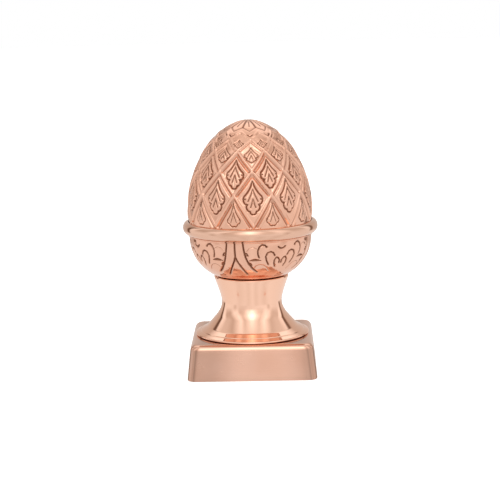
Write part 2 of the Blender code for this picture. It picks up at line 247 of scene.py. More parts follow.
def sweep(slopes, steps):
    """Shares of the way out and of the way up or down, on an outline of these slopes."""
    fineness = 20
    along = np.linspace(0.0, 1.0, fineness * steps + 1)
    shares, degrees = zip(*slopes)
    slope = np.radians(np.interp(along, shares, degrees))
    out, down = np.cumsum(np.cos(slope)), np.cumsum(np.sin(slope))
    out, down = (out - out[0]) / (out[-1] - out[0]), (down - down[0]) / (down[-1] - down[0])
    return list(zip(out[::fineness].tolist(), down[::fineness].tolist()))


# Chased surfaces

# Distance between the mesh points along a chased line, and distances, all in metres, below which
# points of a closed mesh count as one or an edge is too short to keep
CHASED_STEP = 0.00048
WELD = 0.000004
SLIVER = 0.000001


class Chasing:
    """Half of one repeat of a carved surface: x in degrees from its middle, y along the outline."""

    def __init__(self, half_degrees, outline):
        self.half = half_degrees
        self.outline = outline
        self.guides = []

    def flat(self, points):
        """Points in degrees and metres to metres, as far round as the outline is wide there."""
        points = np.asarray(points, dtype=float)
        radius = self.outline.radius_at(points[:, 1])
        return np.stack([np.radians(points[:, 0]) * radius, points[:, 1]], axis=1)

    def distance(self, x, y, line):
        """Metres from each point to a line drawn in degrees and metres, and the share along it."""
        radius = self.outline.radius_at(y)
        best = np.full(x.shape, 1.0)
        along = np.zeros(x.shape)
        count = len(line) - 1
        for index, (start, end) in enumerate(zip(line, line[1:])):
            sx, ex = np.radians(start[0]) * radius, np.radians(end[0]) * radius
            px = np.radians(x) * radius
            dx, dy = ex - sx, end[1] - start[1]
            size = np.maximum(dx * dx + dy * dy, 1e-14)
            share = np.clip(((px - sx) * dx + (y - start[1]) * dy) / size, 0.0, 1.0)
            gap = np.hypot(px - sx - share * dx, y - start[1] - share * dy)
            closer = gap < best
            best = np.where(closer, gap, best)
            along = np.where(closer, (index + share) / count, along)
        return best, along

    def guide(self, line, offsets, step):
        """Mesh points along a line and beside it, so that a cut keeps clean edges."""
        self.guides.append((line, offsets, step))

    def guide_points(self):
        """Rows of points on both sides of each guide and round its ends."""
        rows = []
        for line, offsets, step in self.guides:
            dense = resample(self.flat(line), step)
            direction = np.gradient(dense, axis=0)
            direction /= np.maximum(np.linalg.norm(direction, axis=1, keepdims=True), 1e-12)
            normal = np.stack([-direction[:, 1], direction[:, 0]], axis=1)
            for offset in offsets:
                for side in ((1, -1) if offset else (1,)):
                    rows.append(dense + normal * offset * side)
                if offset:
                    rows.append(end_cap(dense[0], -direction[0], offset, step))
                    rows.append(end_cap(dense[-1], direction[-1], offset, step))
        return np.concatenate(rows)


def resample(points, step):
    """Points at an even step along a polyline, both ends kept."""
    sizes = np.hypot(*np.diff(points, axis=0).T)
    run = np.concatenate([[0.0], np.cumsum(sizes)])
    count = max(int(round(run[-1] / step)), 1)
    at = np.linspace(0.0, run[-1], count + 1)
    return np.stack([np.interp(at, run, points[:, 0]), np.interp(at, run, points[:, 1])], axis=1)


def end_cap(centre, direction, offset, step):
    """A half circle of points round the end of a line."""
    heading = math.atan2(direction[1], direction[0])
    count = max(int(math.pi * offset / step), 2)
    turns = np.linspace(heading - math.pi / 2, heading + math.pi / 2, count + 1)[1:-1]
    return np.stack([centre[0] + offset * np.cos(turns), centre[1] + offset * np.sin(turns)],
                    axis=1)


def dot(centre):
    """A line so short that it is cut as a round dot."""
    return [centre, (centre[0], centre[1] + 0.00001)]


def soft_step(value):
    """0 below 0, 1 above 1 and a smooth rise between."""
    value = np.clip(value, 0.0, 1.0)
    return value * value * (3 - 2 * value)


def groove(distance, half_width):
    """1 in the middle of a cut and 0 from its edge on."""
    share = np.clip(distance / half_width, 0.0, 1.0)
    return (1 - share * share) ** 2


def inside(x, y, ring):
    """Whether each point lies in a closed outline drawn in degrees and metres."""
    hit = np.zeros(x.shape, dtype=bool)
    for (x0, y0), (x1, y1) in zip(ring, ring[1:] + ring[:1]):
        if y0 == y1:
            continue
        crosses = ((y0 > y) != (y1 > y)) & (x < x0 + (y - y0) * (x1 - x0) / (y1 - y0))
        hit ^= crosses
    return hit


def thin(points, spacing, kept):
    """Drops each point that is closer than the spacing to one kept before it."""
    cells = {}

    def cell_of(point):
        return int(point[0] // spacing), int(point[1] // spacing)

    for point in kept:
        cells.setdefault(cell_of(point), []).append(point)
    chosen = []
    for point in points:
        column, row = cell_of(point)
        near = (other for i in (-1, 0, 1) for j in (-1, 0, 1)
                for other in cells.get((column + i, row + j), ()))
        if all((point[0] - o[0]) ** 2 + (point[1] - o[1]) ** 2 >= spacing ** 2 for o in near):
            cells.setdefault((column, row), []).append(point)
            chosen.append(point)
    return np.array(chosen).reshape(-1, 2)


def flat_points(chasing, spacing):
    """Mesh points of a half repeat, in metres, and the number of rows on each upright border."""
    outline, total = chasing.outline, chasing.outline.total
    rows = int(math.ceil(total / (spacing * 0.87)))
    levels = np.linspace(0.0, total, rows + 1)
    ends = np.radians(chasing.half) * outline.radius_at(levels)
    border = np.concatenate([np.stack([np.zeros(rows + 1), levels], axis=1),
                             np.stack([ends, levels], axis=1)])

    # The guides, clear of the borders
    guides = chasing.guide_points()
    clear = CHASED_STEP * 0.45
    limit = np.radians(chasing.half) * outline.radius_at(guides[:, 1])
    guides = guides[(guides[:, 0] > clear) & (guides[:, 0] < limit - clear)
                    & (guides[:, 1] > clear) & (guides[:, 1] < total - clear)]
    guides = thin(guides, CHASED_STEP * 0.8, border)

    # An even background of staggered rows
    field = []
    for index, (level, end) in enumerate(zip(levels, ends)):
        count = max(int(round(end / spacing)), 1)
        stagger = (0.25 if index % 2 else -0.25) if 0 < index < rows else 0.0
        places = (np.arange(1, count) + stagger) / count
        field += [(share * end, level) for share in places if 0.2 / count < share < 1]
    field = thin(field, spacing * 0.72, np.concatenate([border, guides]))
    return np.concatenate([border, guides, field]), rows + 1


def carve(name, chasing, sink, repeats, turn, spacing, closing):
    """The half repeat meshed flat, sunk, mirrored, repeated round the axis and closed."""
    outline = chasing.outline
    points, rows = flat_points(chasing, spacing)

    # Degrees and length, then the even flat map for the triangles
    radius = np.maximum(outline.radius_at(points[:, 1]), 1e-9)
    x = np.degrees(points[:, 0] / radius)
    x[:rows] = 0.0
    x[rows: 2 * rows] = chasing.half
    y = points[:, 1]
    flat = np.stack([np.radians(x), outline.even_map(y)], axis=1)
    _, _, faces, origins, _, _ = delaunay_2d_cdt([tuple(pair) for pair in flat.tolist()],
                                                 [], [], 0, 1e-7)
    source = [origin[0] for origin in origins]
    x, y = x[source], y[source]
    depth, cut = sink(x, y)

    mesh_points, mesh_faces, shade_masks = [], [], []
    for repeat in range(repeats):
        middle = turn + 360 / repeats * repeat
        for side in (1, -1):
            base = len(mesh_points) * len(x)
            mesh_points.append(outline.place(middle + side * x, y, depth))
            shade_masks.append(cut)
            for face in faces:
                corners = [base + i for i in face]
                mesh_faces.append(corners if side == 1 else corners[::-1])
    mesh = bpy.data.meshes.new(name)
    mesh.from_pydata(np.concatenate(mesh_points).tolist(), [], mesh_faces)
    form = bmesh.new()
    form.from_mesh(mesh)
    # The "cut" layer carries the painted shade of the cuts to the carved copper
    layer = form.verts.layers.float.new("cut")
    form.verts.ensure_lookup_table()
    for vert, value in zip(form.verts, np.concatenate(shade_masks).tolist()):
        vert[layer] = value
    bmesh.ops.remove_doubles(form, verts=form.verts, dist=WELD)
    bmesh.ops.dissolve_degenerate(form, edges=form.edges, dist=SLIVER)
    for radius, height in closing:
        grow_rim(form, radius, height)
    rims = [e for e in form.edges if e.is_boundary]
    bmesh.ops.holes_fill(form, edges=rims, sides=0)
    bmesh.ops.recalc_face_normals(form, faces=form.faces)
    form.to_mesh(mesh)
    form.free()
    return mesh


def grow_rim(form, radius, height):
    """A further turned row above the highest open rim."""
    rim = [e for e in form.edges if e.is_boundary]
    top = max(v.co.z for e in rim for v in e.verts)
    rim = [e for e in rim if min(v.co.z for v in e.verts) > top - 0.0001]
    grown = bmesh.ops.extrude_edge_only(form, edges=rim)["geom"]
    for vert in (g for g in grown if isinstance(g, bmesh.types.BMVert)):
        size = math.hypot(vert.co.x, vert.co.y)
        vert.co = (vert.co.x / size * radius, vert.co.y / size * radius, height)


def add_piece(name, mesh, material, node, sharp):
    """A finished piece that stands for one solid, with edges sharp from an angle on, or none."""
    old = bpy.data.objects.get(name)
    if old is not None:
        bpy.data.objects.remove(old, do_unlink=True)
    mesh.materials.append(material)
    mesh.shade_smooth()
    if sharp:
        mesh.set_sharp_from_angle(angle=math.radians(sharp))
    piece = bpy.data.objects.new(name, mesh)
    bpy.context.scene.collection.objects.link(piece)
    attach(piece, BODY)
    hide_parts(node)


def turned(name, profile, steps):
    """A profile of (radius, height) points turned about the Z axis with the Screw modifier."""
    mesh = bpy.data.meshes.new(name)
    edges = [(i, i + 1) for i in range(len(profile) - 1)]
    mesh.from_pydata([(radius, 0.0, height) for radius, height in profile], edges, [])
    body = bpy.data.objects.new(name + "_profile", mesh)
    bpy.context.scene.collection.objects.link(body)
    screw = body.modifiers.new("Turn", "SCREW")
    screw.steps = steps
    screw.render_steps = steps
    screw.use_merge_vertices = True
    screw.merge_threshold = WELD
    depsgraph = bpy.context.evaluated_depsgraph_get()
    result = bpy.data.meshes.new_from_object(body.evaluated_get(depsgraph))
    result.name = name
    bpy.data.objects.remove(body, do_unlink=True)
    form = bmesh.new()
    form.from_mesh(result)
    bmesh.ops.recalc_face_normals(form, faces=form.faces)
    form.to_mesh(result)
    form.free()
    return result


# The pineapple's pattern: the shares of the outline at which the ribs cross, by turns in the
# middle and on the border of the half repeat, and the petals' tips and corners

SCALES_ROUND = 10
NODE_SHARES = (0.0636, 0.2947, 0.4696, 0.6240, 0.7222, 0.7877)
PETAL_TIP_SHARE = 0.794
PETAL_CORNER_SHARE = 0.839
PINEAPPLE_TURN = 4.15

# A leaf from its point down to its hanging tip: width and height as shares of the leaf, and for
# the drilled dots also a size
LEAF_SHOULDER = ((0.0, 1.0), (0.15, 0.865), (0.36, 0.745), (0.65, 0.625), (0.88, 0.555))
LEAF_LOBES = ((0.98, 0.49), (0.97, 0.40), (0.84, 0.33), (0.58, 0.30), (0.70, 0.25), (0.65, 0.17),
              (0.50, 0.115), (0.31, 0.095), (0.27, 0.045), (0.14, 0.01), (0.0, 0.0))
LEAF_ARROWS = (((0.0, 0.76), (0.10, 0.66), (0.28, 0.54), (0.52, 0.39)),
               ((0.0, 0.47), (0.09, 0.36), (0.27, 0.21)))
LEAF_DRILLS = ((0.80, 0.465, 0.85), (0.55, 0.315, 0.6), (0.29, 0.105, 0.6))

# The shorter leaf that stands on the ring
SHORT_SHOULDER = ((0.0, 1.0), (0.12, 0.80), (0.38, 0.58), (0.72, 0.40), (0.93, 0.33))
SHORT_LOBES = ((1.0, 0.26), (0.90, 0.17), (0.60, 0.125), (0.50, 0.055), (0.28, 0.015), (0.0, 0.03))
SHORT_ARROWS = (((0.0, 0.60), (0.14, 0.44), (0.42, 0.20)),)
SHORT_DRILLS = ((0.90, 0.315, 0.85), (0.55, 0.10, 0.5))
LEAF_KINDS = {"long": (LEAF_SHOULDER, LEAF_LOBES, LEAF_ARROWS, LEAF_DRILLS),
              "short": (SHORT_SHOULDER, SHORT_LOBES, SHORT_ARROWS, SHORT_DRILLS)}

# Half width in metres from which a leaf is cut with the full width and depth of line
FULL_LEAF = 0.0066

# Each row of leaves: its kind, 1 where it stands on the far border of the half repeat, and its
# foot and point along the outline and half width in metres
LEAF_ROWS = (("short", 1, 0.0068, 0.0253, 0.0052),
             ("long", 0, 0.0163, 0.0419, 0.0076),
             ("long", 1, 0.0362, 0.0589, 0.0069),
             ("long", 0, 0.0566, 0.0694, 0.0055),
             ("long", 1, 0.0692, 0.0765, 0.0040))

# Gouges under the ribs: how far their edge stays off the rib, the height of a scale that is cut
# with a full gouge, the least size of a gouge, and the share of the rib that it leaves out at the
# foot of a tall and of a low scale
GOUGE_GAP = 0.0004
FULL_SCALE = 0.0165
LEAST_GOUGE = 0.42
LOW_SCALE = 0.008
GOUGE_STARTS = (0.16, 0.28)

# Half width of a rib's flat top, width of the slope between rib and field, and middle and spread
# of the low bead beside a gouge
RIB_TOP = 0.0002
RIB_SLOPE = 0.0015
BEAD_GAP = 0.0004
BEAD_SPREAD = 0.0007

# The crown over the petals' edge, and its fine cuts: depth and half width in metres, and how strong
# and how wide the painted shade in them is
PETAL_DEPTH = 0.00035
PETAL_SLOPE = 0.0030
PETAL_VEIN = (0.006, 0.015)
SMALL_MARK = ((0.0, 0.0022), (5.5, 0.0042))
SEAM_FADE = 0.006
SEAM_CUT = (0.0007, 0.0013, 0.8, 0.0011)
VEIN_CUT = (0.0005, 0.0007, 0.8, 0.0007)
EDGE_CUT = (0.0004, 0.0007, 0.6, 0.0007)
MARK_CUT = (0.0008, 0.0008, 1.0, 0.0008)


def leaf_lines(chasing, kind, far, low, high, half_width):
    """The lines and drilled dots of one half leaf, in degrees and metres, and its size of cut."""
    shoulder, lobes, arrows, drills = LEAF_KINDS[kind]
    centre = far * chasing.half
    toward = -1 if far else 1

    def at(width, height):
        y = low + height * (high - low)
        reach = math.degrees(width * half_width / chasing.outline.radius_at(y))
        return (centre + toward * reach, y)

    outer = [at(*point) for point in shoulder + lobes]
    veins = [[at(*point) for point in arrow] for arrow in arrows]
    dots = [(at(width, height), size * (high - low) * 0.04) for width, height, size in drills]
    return outer, veins, dots, min(half_width / FULL_LEAF, 1.0)


def pineapple_chasing(outline, carving):
    """The pineapple's half repeat: half a column of scales, with the depth at each point."""
    half = 180 / SCALES_ROUND
    chasing = Chasing(half, outline)
    nodes = [share * outline.total for share in NODE_SHARES]
    crests, gouges = [], []
    for row, (low, high) in enumerate(zip(nodes, nodes[1:])):
        start, end = (0.0, half) if row % 2 == 0 else (half, 0.0)
        crests.append([(start, low), (end, high)])
        # A gouge runs under each crest, on the upper edge of the scale below it
        rise = high - low
        size = min(max(rise / FULL_SCALE, LEAST_GOUGE), 1.0)
        width = math.radians(half) * float(outline.radius_at((low + high) / 2))
        down = (carving.gouge_width * size / 2 + GOUGE_GAP) * math.hypot(width, rise) / width
        skipped = GOUGE_STARTS[0] if rise > LOW_SCALE else GOUGE_STARTS[1]
        near = (start + (end - start) * skipped, low + skipped * rise - down)
        gouges.append(([near, (end, high - down)], size))
    leaves = [leaf_lines(chasing, *row) for row in LEAF_ROWS]

    petal_tip = PETAL_TIP_SHARE * outline.total
    petal_corner = PETAL_CORNER_SHARE * outline.total
    petal_edge = [(0.0, petal_tip), (half, petal_corner)]
    petal_seam = [(half, petal_corner), (half, outline.total)]
    petal_vein = [(0.0, petal_tip + rise) for rise in PETAL_VEIN]
    small_mark = [(x, nodes[4] + rise) for x, rise in SMALL_MARK]

    fine = carving.line_width / 2
    for line in crests:
        chasing.guide(line, (0.0, 0.0004, 0.0009), 0.00055)
    for line, size in gouges:
        width = carving.gouge_width * size
        chasing.guide(line, (width * 0.32, width * 0.5), 0.00055)
    for outer, veins, dots, size in leaves:
        for line in (outer, *veins):
            chasing.guide(line, (0.0, fine * size * 0.6, fine * size), 0.0005)
        for centre, wide in dots:
            chasing.guide(dot(centre), (wide * 0.5, wide), 0.0004)
    for line in (petal_edge, petal_vein, small_mark):
        chasing.guide(line, (0.0, fine), 0.0005)

    def sink(x, y):
        def gap_to(line):
            return chasing.distance(x, y, line)[0]

        # Ribs and fields, shallower toward the crown
        crest = np.full(x.shape, 1.0)
        for line in crests:
            crest = np.minimum(crest, gap_to(line))
        shallow = 0.4 + 0.6 * soft_step((nodes[5] - y) / (nodes[5] - nodes[3]))
        base = carving.field * shallow * soft_step((crest - RIB_TOP) / RIB_SLOPE)

        # Gouges, with a low bead along their outer side and a little painted shade in them
        cut = np.zeros(x.shape)
        bead = np.zeros(x.shape)
        for line, size in gouges:
            radius = carving.gouge_width * size / 2
            gap = gap_to(line)
            cut = np.maximum(cut, carving.gouge * size * shallow * groove(gap, radius))
            bead = np.maximum(bead, np.exp(-(((gap - radius - BEAD_GAP) / BEAD_SPREAD) ** 2)))
        depth = base * (1 - bead) + np.minimum(base, carving.leaf) * bead + cut
        shade_mask = 0.35 * cut / carving.gouge

        # Leaves: a raised face, swelling to its middle, inside a chased outline, with painted shade in
        # the lines and dots
        for outer, veins, dots, size in leaves:
            gap = gap_to(outer)
            within = inside(x, y, outer + [(outer[-1][0], outer[0][1])])
            face = within * soft_step(gap / 0.0009)
            swell = 0.00025 * soft_step(gap / 0.003)
            depth = np.where(within, depth * (1 - face) + (carving.leaf - swell) * face, depth)
            cuts = groove(gap, fine * size)
            for line in veins:
                cuts = np.maximum(cuts, 0.8 * groove(gap_to(line), fine * size))
            for centre, wide in dots:
                cuts = np.maximum(cuts, 1.35 * groove(gap_to(dot(centre)), wide))
            depth = depth + carving.line * size * cuts
            shade_mask = np.maximum(shade_mask, cuts)

        # Crown petals, smooth above their edge, with seams between them and a vein on each, and
        # painted shade in these cuts
        above = y > petal_tip + (petal_corner - petal_tip) * x / half
        lift = above * soft_step(gap_to(petal_edge) / PETAL_SLOPE)
        depth = depth * (1 - lift) + PETAL_DEPTH * lift
        fade = np.clip((outline.total - y) / SEAM_FADE, 0.0, 1.0)
        for line, (deep, half_width, dark, dark_width), where in (
                (petal_seam, SEAM_CUT, above * fade), (petal_vein, VEIN_CUT, above),
                (petal_edge, EDGE_CUT, 1), (small_mark, MARK_CUT, 1)):
            gap = gap_to(line)
            depth = depth + deep * groove(gap, half_width) * where
            shade_mask = np.maximum(shade_mask, dark * groove(gap, dark_width) * where)

        # Plain neck inside the ring
        ring_top = outline.length_at(RING_HIGH[2])
        neck = outline.radius_at(y) - NECK_RADIUS
        hidden = 1 - soft_step((y - ring_top + 0.0006) / 0.0006)
        return depth * (1 - hidden) + neck * hidden, shade_mask * (1 - hidden)

    return chasing, sink


# The bowl's pattern: degrees from the pair of stems, height in millimetres over the floor

BOWL_PANELS = 4
BOWL_TURN = -13.85
# Half width and depth as shares of the usual line, then the points
BOWL_STROKES = (
    ((1.0, 1.0), ((0, 110), (0, 96), (1.3, 92.3), (4.5, 87.5), (8, 83.3), (10.5, 80.5))),
    ((1.0, 1.0), ((7.7, 110), (7.9, 104), (8.7, 99.5), (10, 95), (12.6, 89.7), (17, 85.2),
                  (21.5, 82.5))),
    ((0.8, 0.9), ((8.9, 98.9), (11.2, 98.0), (12, 96.4))),
    ((0.8, 0.9), ((12.0, 91.0), (14.6, 89.9), (15.4, 88.2))),
    ((0.5, 0.35), ((11, 100), (13.3, 102.3), (17, 103.2), (20.3, 102), (21.6, 99.8))),
    ((0.9, 0.9), ((22.8, 94.6), (21.6, 97), (21.4, 100.2), (22.9, 103.2), (25.3, 104.7),
                  (28, 104.5), (29.8, 102.8))),
    ((0.9, 0.9), ((32.5, 88.5), (30.1, 92), (29.1, 95.5), (30.6, 98.1), (33.8, 99),
                  (36.7, 98), (38.1, 95.6))),
    ((0.9, 0.9), ((40, 86.5), (38.4, 89.5), (38.2, 92), (39.9, 94.1), (42.2, 93.6), (43.8, 91.7),
                  (44.0, 89.5))),
    ((0.9, 0.9), ((41.2, 102.5), (43.2, 101.3), (45, 101))),
    ((0.6, 0.4), ((18, 85.6), (20, 88), (23.5, 89), (28, 88.2), (31.5, 86), (34, 83.5))),
)
# Drilled dots with their size, and a cut that swells in its middle
BOWL_DRILLS = ((12.0, 96.6, 1.1), (15.3, 88.6, 1.1), (29.7, 103.0, 1.3), (38.0, 95.9, 1.2),
               (43.9, 90.0, 1.0), (41.3, 102.4, 1.0))
BOWL_LENS = ((13.6, 92.3), (19, 93.0), (24.3, 92.3))

# Half widths in metres: of the usual line, of the lens at its ends and what its middle adds
BOWL_LINE_HALF_WIDTH = 0.00082
LENS_END_WIDTH = 0.0003
LENS_SWELL = 0.0013


def bowl_chasing(outline, carving):
    """The bowl's half repeat: a stem and half a panel of lobes, with the depth at each point."""
    chasing = Chasing(180 / BOWL_PANELS, outline)
    usual = BOWL_LINE_HALF_WIDTH

    def on_bowl(points):
        return [(x, float(outline.length_at(z * MM))) for x, z in points]

    strokes = [(size, on_bowl(points)) for size, points in BOWL_STROKES]
    drills = [(on_bowl([(x, z)])[0], size * usual) for x, z, size in BOWL_DRILLS]
    lens = on_bowl(BOWL_LENS)
    for (width, _), line in strokes:
        chasing.guide(line, (0.0, usual * width * 0.6, usual * width), 0.0005)
    chasing.guide(lens, (0.0, 0.0006, 0.0012), 0.0005)

    def sink(x, y):
        gap, along = chasing.distance(x, y, lens)
        width = LENS_END_WIDTH + LENS_SWELL * np.sin(np.pi * along)
        depth = carving.bowl_line * groove(gap, width)
        for (width, deep), line in strokes:
            gap, _ = chasing.distance(x, y, line)
            depth = np.maximum(depth, carving.bowl_line * deep * groove(gap, usual * width * 1.2))
        for centre, size in drills:
            gap, _ = chasing.distance(x, y, dot(centre))
            depth = np.maximum(depth, carving.bowl_line * 1.25 * groove(gap, size * 1.2))
        # The painted shade in each line, dot and lens, by its depth
        return depth, np.clip(depth / carving.bowl_line, 0.0, 1.0)

    return chasing, sink


# The pressed corners run into the flat skirts without a line
CORNER_REACH = 1.15
CORNER_POWER = 2.3
CORNER_STEPS = 24
LEAST_REACH = 0.0008
LIP_RISE = 0.0006
LIP_INSET = 0.0005

# Finish and painted light of the cap: steps into a corner over which the satin ends, the step and
# spread of the painted dark reflection line along the bend and how much painted shade it adds, and the
# place on a skirt of the painted lit patch and the width of its soft rim in metres
SATIN_STEPS = 11
BEND_STEP = 5.5
BEND_SPREAD = 1.6
BEND_SHADE = 0.8
PATCH_MIDDLE = -0.008
PATCH_RIM = 0.026

# Polish gained per radian round the top fillet, which also takes away the painted shade there as a
# painted highlight, and painted shade gained per metre in over the top
FILLET_POLISH_AND_SHEEN = 2.4
TOP_SHADE_RATE = 200

# The stem's rim round the bowl's foot, the turned line and the ring's section
SEAT_CLEARANCE = 0.0004
RIM_WALL = 0.0018
SEAT_FILLET = 0.0003
FLANGE_CLEARANCE = 0.0004
LINE_DEPTH = 0.00035
LINE_HALF_WIDTH = 0.0006
RING_CLEARANCE = 0.0003
RING_SWEEP = 84
RING_POWER = 0.9


# Operators


class POSTCAP_OT_square_cap(bpy.types.Operator):
    """Pressed sheet cap with drafted skirts, rounded corners and a hollow underside"""

    bl_idname = "postcap.square_cap"
    bl_label = "Square cap"

    def execute(self, context):
        sizes = context.scene.postcap_cap
        height = CAP_HIGH[2]
        rim = CAP_HIGH[0] - CAP_LOW[0]
        slope = (rim - sizes.top_width) / height

        def loop(level, inset, polish_and_sheen=0.0, top_shade=0.0):
            """A rounded square inset from the drafted wall, with how satin it is and how much painted
            shade it takes.
            """
            width = (rim - slope * level) / 2 - inset
            reach = max(CORNER_REACH * sizes.corner - inset, LEAST_REACH)

            def point(turn, x, y, satin, painted_shade):
                return (x * math.cos(turn) - y * math.sin(turn),
                        x * math.sin(turn) + y * math.cos(turn), level,
                        satin * (1 - polish_and_sheen), top_shade + painted_shade * (1 - polish_and_sheen))

            def corner(turn, step):
                angle = step / CORNER_STEPS * math.pi / 2
                x, y = (width - reach + reach * max(part, 0) ** (2 / CORNER_POWER)
                        for part in (math.cos(angle), math.sin(angle)))
                depth = min(step, CORNER_STEPS - step)
                # Corners take the full painted shade, and more in a line along each side of the bend,
                # painting a dark reflection
                bend = math.exp(-((depth - BEND_STEP) / BEND_SPREAD) ** 2)
                return point(turn, x, y, 1 - float(soft_step(depth / SATIN_STEPS)),
                             1 + BEND_SHADE * bend)

            def skirt(turn, share):
                x = (width - reach) * (1 - 2 * share)
                # Skirts take painted shade except in a painted lit patch near their middle
                middle = soft_step((width - reach - abs(x - PATCH_MIDDLE)) / PATCH_RIM)
                return point(turn, x, width, 1, 1 - float(middle))

            points = []
            for turn in (quarter * math.pi / 2 for quarter in range(4)):
                points += [corner(turn, step) for step in range(CORNER_STEPS + 1)]
                points += [skirt(turn, step / 24) for step in range(1, 24)]
            return points

        def shell(inset, top):
            """Rows up a skirt, round the fillet and in over the top."""
            fillet = sizes.fillet - inset
            foot = 0.0 if inset else LIP_RISE
            rows = [loop(level, inset) for level in np.linspace(foot, top - fillet, 9)]
            for turn in np.linspace(0, math.pi / 2, 13)[1:]:
                rows.append(loop(top - fillet + fillet * math.sin(turn),
                                 inset + fillet * (1 - math.cos(turn)),
                                 min(turn * FILLET_POLISH_AND_SHEEN, 1)))
            # Painted shade that grows inward over the top
            for extra in np.linspace(0, 0.03, 7)[1:]:
                rows.append(loop(top, inset + fillet + extra, 1, min(extra * TOP_SHADE_RATE, 1)))
            return rows

        outer = shell(0.0, height)
        inner = shell(sizes.wall, height - sizes.wall)
        lip = [loop(LIP_RISE * (1 - math.sin(turn)), LIP_INSET * (1 - math.cos(turn)))
               for turn in np.linspace(math.pi / 2, 0, 4)[:-1]]
        rows = inner[::-1] + [loop(0.0, sizes.wall * 0.9)] + lip + outer
        form = bmesh.new()
        satin = form.verts.layers.float.new("satin")
        painted_shade = form.verts.layers.float.new("painted_shade")
        verts = []
        for row in rows:
            verts.append([form.verts.new(point[:3]) for point in row])
            for vert, point in zip(verts[-1], row):
                vert[satin], vert[painted_shade] = point[3], point[4]
        for lower, upper in zip(verts, verts[1:]):
            for i in range(len(lower)):
                after = (i + 1) % len(lower)
                form.faces.new((lower[i], lower[after], upper[after], upper[i]))
        form.faces.new(verts[0][::-1])
        form.faces.new(verts[-1])
        bmesh.ops.remove_doubles(form, verts=form.verts, dist=WELD)
        bmesh.ops.recalc_face_normals(form, faces=form.faces)
        mesh = bpy.data.meshes.new("cap_shell")
        form.to_mesh(mesh)
        form.free()
        add_piece("cap_shell", mesh, satin_copper(context), "square_cap", 40)
        return {"FINISHED"}


class POSTCAP_OT_spool_stem(bpy.types.Operator):
    """Spun stem: a seat for the bowl, a narrow waist and a foot that sweeps out to a flange"""

    bl_idname = "postcap.spool_stem"
    bl_label = "Spool stem"

    def execute(self, context):
        sizes = context.scene.postcap_stem
        foot, rim = STEM_LOW[2], STEM_HIGH[2]
        flange = STEM_HIGH[0]
        waist = foot + sizes.flange_edge + sizes.waist_rise
        bowl = bowl_outline()
        rim_inner = float(bowl.radius_at(bowl.length_at(rim))) + SEAT_CLEARANCE
        rim_outer = rim_inner + RIM_WALL
        floor = rim - sizes.recess
        points = [(0.0, floor), (rim_inner - SEAT_FILLET, floor),
                  (rim_inner, floor + SEAT_FILLET)]
        middle = (rim_inner + rim_outer) / 2
        bead = (rim_outer - rim_inner) / 2
        for turn in np.linspace(math.pi, 0.0, 11):
            points.append((middle + bead * math.cos(turn), rim - bead + bead * math.sin(turn)))
        for out, up in reversed(sweep(HEAD_SLOPES, 48)[:-1]):
            level = waist + up * (rim - bead - waist)
            points.append((sizes.waist_radius + (rim_outer - sizes.waist_radius) * out, level))
        for out, down in sweep(FOOT_SLOPES, 150)[1:]:
            reach = flange - FLANGE_CLEARANCE - sizes.waist_radius
            radius = sizes.waist_radius + reach * out
            line = LINE_DEPTH * groove(abs(radius - sizes.turned_line), LINE_HALF_WIDTH)
            points.append((radius, waist - down * sizes.waist_rise - line))
        edge = sizes.flange_edge / 2
        for turn in np.linspace(math.pi / 2, -math.pi / 2, 9):
            points.append((flange - edge + edge * math.cos(turn), foot + edge + edge * math.sin(turn)))
        points.append((0.0, foot))
        mesh = turned("stem_spun", points, 160)
        add_piece("stem_spun", mesh, polished_copper(context), "spool_stem", 50)
        return {"FINISHED"}


class POSTCAP_OT_bowl(bpy.types.Operator):
    """Bowl with its engraved stems and lobes, a lip under the ring and a plain neck"""

    bl_idname = "postcap.bowl"
    bl_label = "Engraved bowl"

    def execute(self, context):
        carving = context.scene.postcap_carving
        outline = bowl_outline()
        chasing, sink = bowl_chasing(outline, carving)
        shoulder = BOWL_LOW[2] + BOWL_SIDE_HEIGHT
        lip_top = shoulder + BOWL_LIP_HEIGHT
        closing = [(BOWL_LIP_RADIUS - 0.0001, shoulder + 0.0005), (BOWL_LIP_RADIUS, shoulder + 0.0007),
                   (BOWL_LIP_RADIUS, lip_top - 0.0002), (BOWL_LIP_RADIUS - 0.0002, lip_top),
                   (NECK_RADIUS, lip_top), (NECK_RADIUS, BOWL_HIGH[2])]
        mesh = carve("bowl_engraved", chasing, sink, BOWL_PANELS, BOWL_TURN,
                     carving.spacing, closing)
        add_piece("bowl_engraved", mesh, carved_copper(context), "bowl", 50)
        return {"FINISHED"}


class POSTCAP_OT_ring(bpy.types.Operator):
    """Rolled ring over the joint between the bowl and the pineapple"""

    bl_idname = "postcap.ring"
    bl_label = "Rolled ring"

    def execute(self, context):
        low, high = RING_LOW[2], RING_HIGH[2]
        inner = NECK_RADIUS + RING_CLEARANCE
        reach = RING_HIGH[0] - inner
        middle, rise = (low + high) / 2, (high - low) / 2
        points = [(inner, high)]
        for turn in np.linspace(RING_SWEEP, -RING_SWEEP, 33):
            angle = math.radians(turn)
            points.append((inner + reach * math.cos(angle) ** RING_POWER,
                           middle + rise * math.sin(angle)))
        points += [(inner, low), (inner, high)]
        mesh = turned("ring_rolled", points, 200)
        # The ring's copper is painted darker, at 0.83, as painted shade
        add_piece("ring_rolled", mesh, polished_copper(context, "copper_ring_shaded", 0.83),
                  "equator_ring", 60)
        return {"FINISHED"}


class POSTCAP_OT_pineapple(bpy.types.Operator):
    """Pineapple with its lattice of ribs, gouges, leaves and crown of petals"""

    bl_idname = "postcap.pineapple"
    bl_label = "Carved pineapple"

    def execute(self, context):
        carving = context.scene.postcap_carving
        outline = pineapple_outline()
        chasing, sink = pineapple_chasing(outline, carving)
        mesh = carve("pineapple_carved", chasing, sink, SCALES_ROUND, PINEAPPLE_TURN,
                     carving.spacing, [])
        add_piece("pineapple_carved", mesh, carved_copper(context), "pineapple",
                  0)
        return {"FINISHED"}


